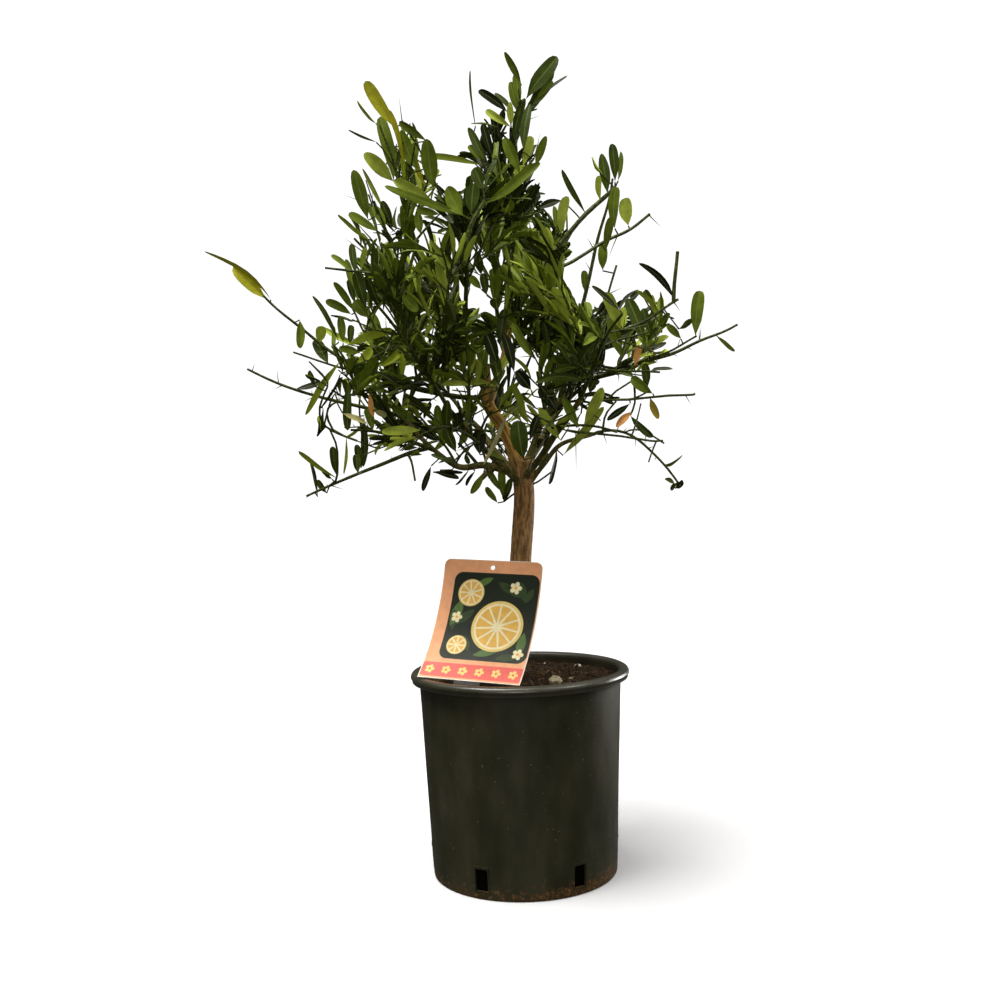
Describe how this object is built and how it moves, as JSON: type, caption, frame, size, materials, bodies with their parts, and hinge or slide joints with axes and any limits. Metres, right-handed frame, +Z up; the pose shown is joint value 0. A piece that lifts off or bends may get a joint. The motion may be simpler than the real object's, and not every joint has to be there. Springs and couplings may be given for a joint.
{
  "type": "potted citrus tree",
  "caption": "Young narrow-leaved citrus tree on a short trunk in a black nursery pot, with an open thorny crown and a curved plant label in the soil.",
  "frame": {"origin": "middle of the pot's flat underside", "axes": "+Z up along the trunk, -Y towards the side that the label faces, +X to the right of someone who looks at that side"},
  "size_m": [0.5352, 0.4859, 0.8182],
  "materials": {
    "pot": "matte black moulded plastic with a dull grey sheen",
    "soil": "moist dark compost with pale grit",
    "bark": "brown bark with fine upright fissures",
    "foliage": "leathery dark green leaves with a soft gloss",
    "label": "printed card with a thin gloss film"
  },
  "bodies": {
    "root": {"bough_back_left": "bark", "bough_back_right": "bark", "bough_centre": "bark", "bough_front_left": "bark", "bough_front_right": "bark", "bough_low_left": "bark", "bough_low_right": "bark", "bough_main": "bark", "bough_right": "bark", "bough_upper_left": "bark", "foliage_back_left": "foliage", "foliage_back_right": "foliage", "foliage_back_top": "foliage", "foliage_centre_right": "foliage", "foliage_front_left": "foliage", "foliage_front_right": "foliage", "foliage_front_top": "foliage", "foliage_hanging": "foliage", "foliage_heart": "foliage", "foliage_heart_left": "foliage", "foliage_inner_left": "foliage", "foliage_inner_right": "foliage", "foliage_left": "foliage", "foliage_low_back": "foliage", "foliage_low_front": "foliage", "foliage_low_front_left": "foliage", "foliage_low_left": "foliage", "foliage_low_right": "foliage", "foliage_right": "foliage", "foliage_top": "foliage", "foliage_top_left": "foliage", "foliage_upper_left": "foliage", "foliage_upper_right": "foliage", "plant_label": "label", "pot": "pot", "soil": "soil", "trunk": "bark"}
  },
  "joints": []
}
